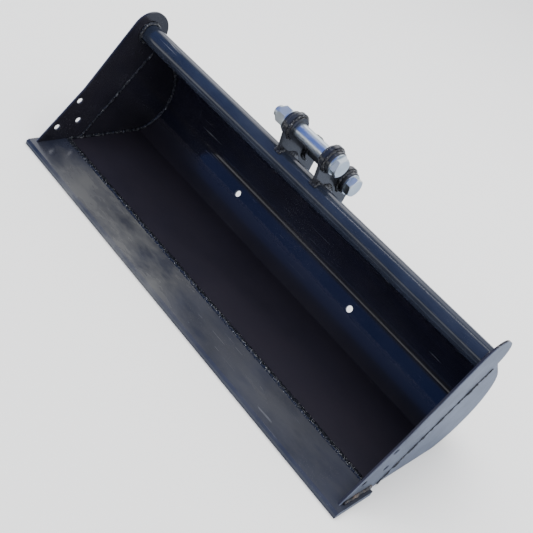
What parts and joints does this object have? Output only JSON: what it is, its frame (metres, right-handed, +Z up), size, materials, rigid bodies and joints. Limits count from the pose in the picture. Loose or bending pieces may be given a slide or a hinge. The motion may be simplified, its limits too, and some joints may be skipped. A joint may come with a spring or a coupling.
{
  "type": "excavator bucket",
  "caption": "Wide grading bucket for a mini excavator: welded trough, straight cutting edge, round top tube, two hanger ears with through pins.",
  "frame": {"origin": "centre of the bounding box at the level the bucket stands on", "axes": "+X along the width, the mouth faces -Y, +Z up from the flat floor"},
  "size_m": [1.02, 0.3647, 0.37],
  "materials": {
    "black_paint": "gloss black enamel with a blue cast",
    "painted_weld": "gloss black over a rippled bead",
    "zinc_plate": "bright zinc plating"
  },
  "bodies": {
    "bucket": {"cutting_edge": "black_paint", "shell": "black_paint", "top_tube": "black_paint", "left_side_cutter": "black_paint", "left_end_plate": "black_paint", "left_ear": "black_paint", "right_side_cutter": "black_paint", "right_end_plate": "black_paint", "right_ear": "black_paint", "left_front_boss": "black_paint", "left_rear_boss": "black_paint", "right_front_boss": "black_paint", "right_rear_boss": "black_paint", "edge_weld": "painted_weld", "tube_weld": "painted_weld", "left_seam_weld": "painted_weld", "left_tube_end_weld": "painted_weld", "left_shell_weld": "painted_weld", "left_ledge_weld": "painted_weld", "left_ear_welds": "painted_weld", "left_boss_welds": "painted_weld", "right_seam_weld": "painted_weld", "right_tube_end_weld": "painted_weld", "right_shell_weld": "painted_weld", "right_ledge_weld": "painted_weld", "right_ear_welds": "painted_weld", "right_boss_welds": "painted_weld"},
    "front_head_washer": {"front_head_washer": "zinc_plate"},
    "front_pin": {"front_pin": "zinc_plate"},
    "front_nut_washer": {"front_nut_washer": "zinc_plate"},
    "front_nut": {"front_nut": "zinc_plate"},
    "rear_head_washer": {"rear_head_washer": "zinc_plate"},
    "rear_pin": {"rear_pin": "zinc_plate"},
    "rear_nut_washer": {"rear_nut_washer": "zinc_plate"},
    "rear_nut": {"rear_nut": "zinc_plate"}
  },
  "joints": [
    {"name": "front_pin_withdraw", "type": "slide", "parent": "bucket", "child": "front_head_washer", "axis": [1, 0, 0], "range_m": [0, 0.18]},
    {"name": "front_pin_turn", "type": "hinge", "parent": "front_head_washer", "child": "front_pin", "pos_m": [0.06, 0.061, 0.341], "axis": [1, 0, 0], "continuous": true},
    {"name": "front_nut_off", "type": "slide", "parent": "bucket", "child": "front_nut_washer", "axis": [-1, 0, 0], "range_m": [0, 0.05]},
    {"name": "front_nut_turn", "type": "hinge", "parent": "front_nut_washer", "child": "front_nut", "pos_m": [-0.08, 0.061, 0.341], "axis": [1, 0, 0], "continuous": true},
    {"name": "rear_pin_withdraw", "type": "slide", "parent": "bucket", "child": "rear_head_washer", "axis": [1, 0, 0], "range_m": [0, 0.18]},
    {"name": "rear_pin_turn", "type": "hinge", "parent": "rear_head_washer", "child": "rear_pin", "pos_m": [0.06, 0.137, 0.28], "axis": [1, 0, 0], "continuous": true},
    {"name": "rear_nut_off", "type": "slide", "parent": "bucket", "child": "rear_nut_washer", "axis": [-1, 0, 0], "range_m": [0, 0.05]},
    {"name": "rear_nut_turn", "type": "hinge", "parent": "rear_nut_washer", "child": "rear_nut", "pos_m": [-0.08, 0.137, 0.28], "axis": [1, 0, 0], "continuous": true}
  ]
}
